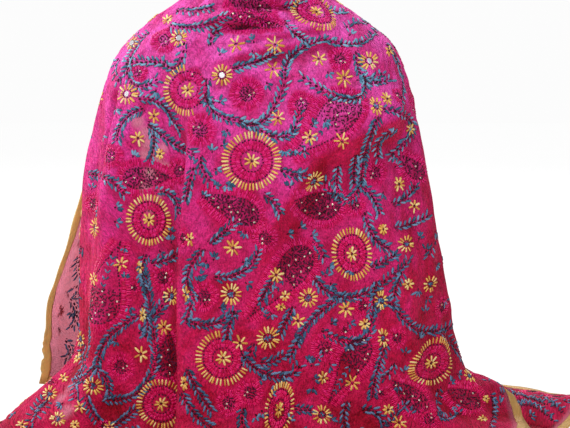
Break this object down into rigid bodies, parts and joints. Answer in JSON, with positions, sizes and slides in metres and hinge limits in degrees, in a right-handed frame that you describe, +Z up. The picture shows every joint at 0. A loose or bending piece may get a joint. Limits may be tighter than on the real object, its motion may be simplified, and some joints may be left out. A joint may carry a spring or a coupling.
{
  "type": "phulkari shawl",
  "caption": "Embroidered phulkari shawl worn high round the neck and shoulders, its ends crossed at the back, gold ribbon on all edges and its hem spread on the ground.",
  "frame": {"origin": "on the axis of the hollow, level with the foot of the neck, where the wearer's neck and shoulders hold the shawl", "axes": "+Z up, -Y to the front, +X to the right as seen from the front"},
  "size_m": [0.9249, 0.6272, 0.7641],
  "materials": {
    "georgette": "soft pucker, slightly sheer",
    "gold_ribbon": "satin",
    "thread": "silky",
    "mirror_discs": "polished"
  },
  "bodies": {
    "root": {"cloth_back_outer": "georgette", "cloth_back_right": "georgette", "cloth_right_side": "georgette", "cloth_front": "georgette", "cloth_left_side": "georgette", "cloth_back_inner": "georgette", "ribbon_top": "gold_ribbon", "ribbon_hem": "gold_ribbon", "ribbon_end_left": "gold_ribbon", "ribbon_end_inner": "gold_ribbon"}
  },
  "joints": []
}
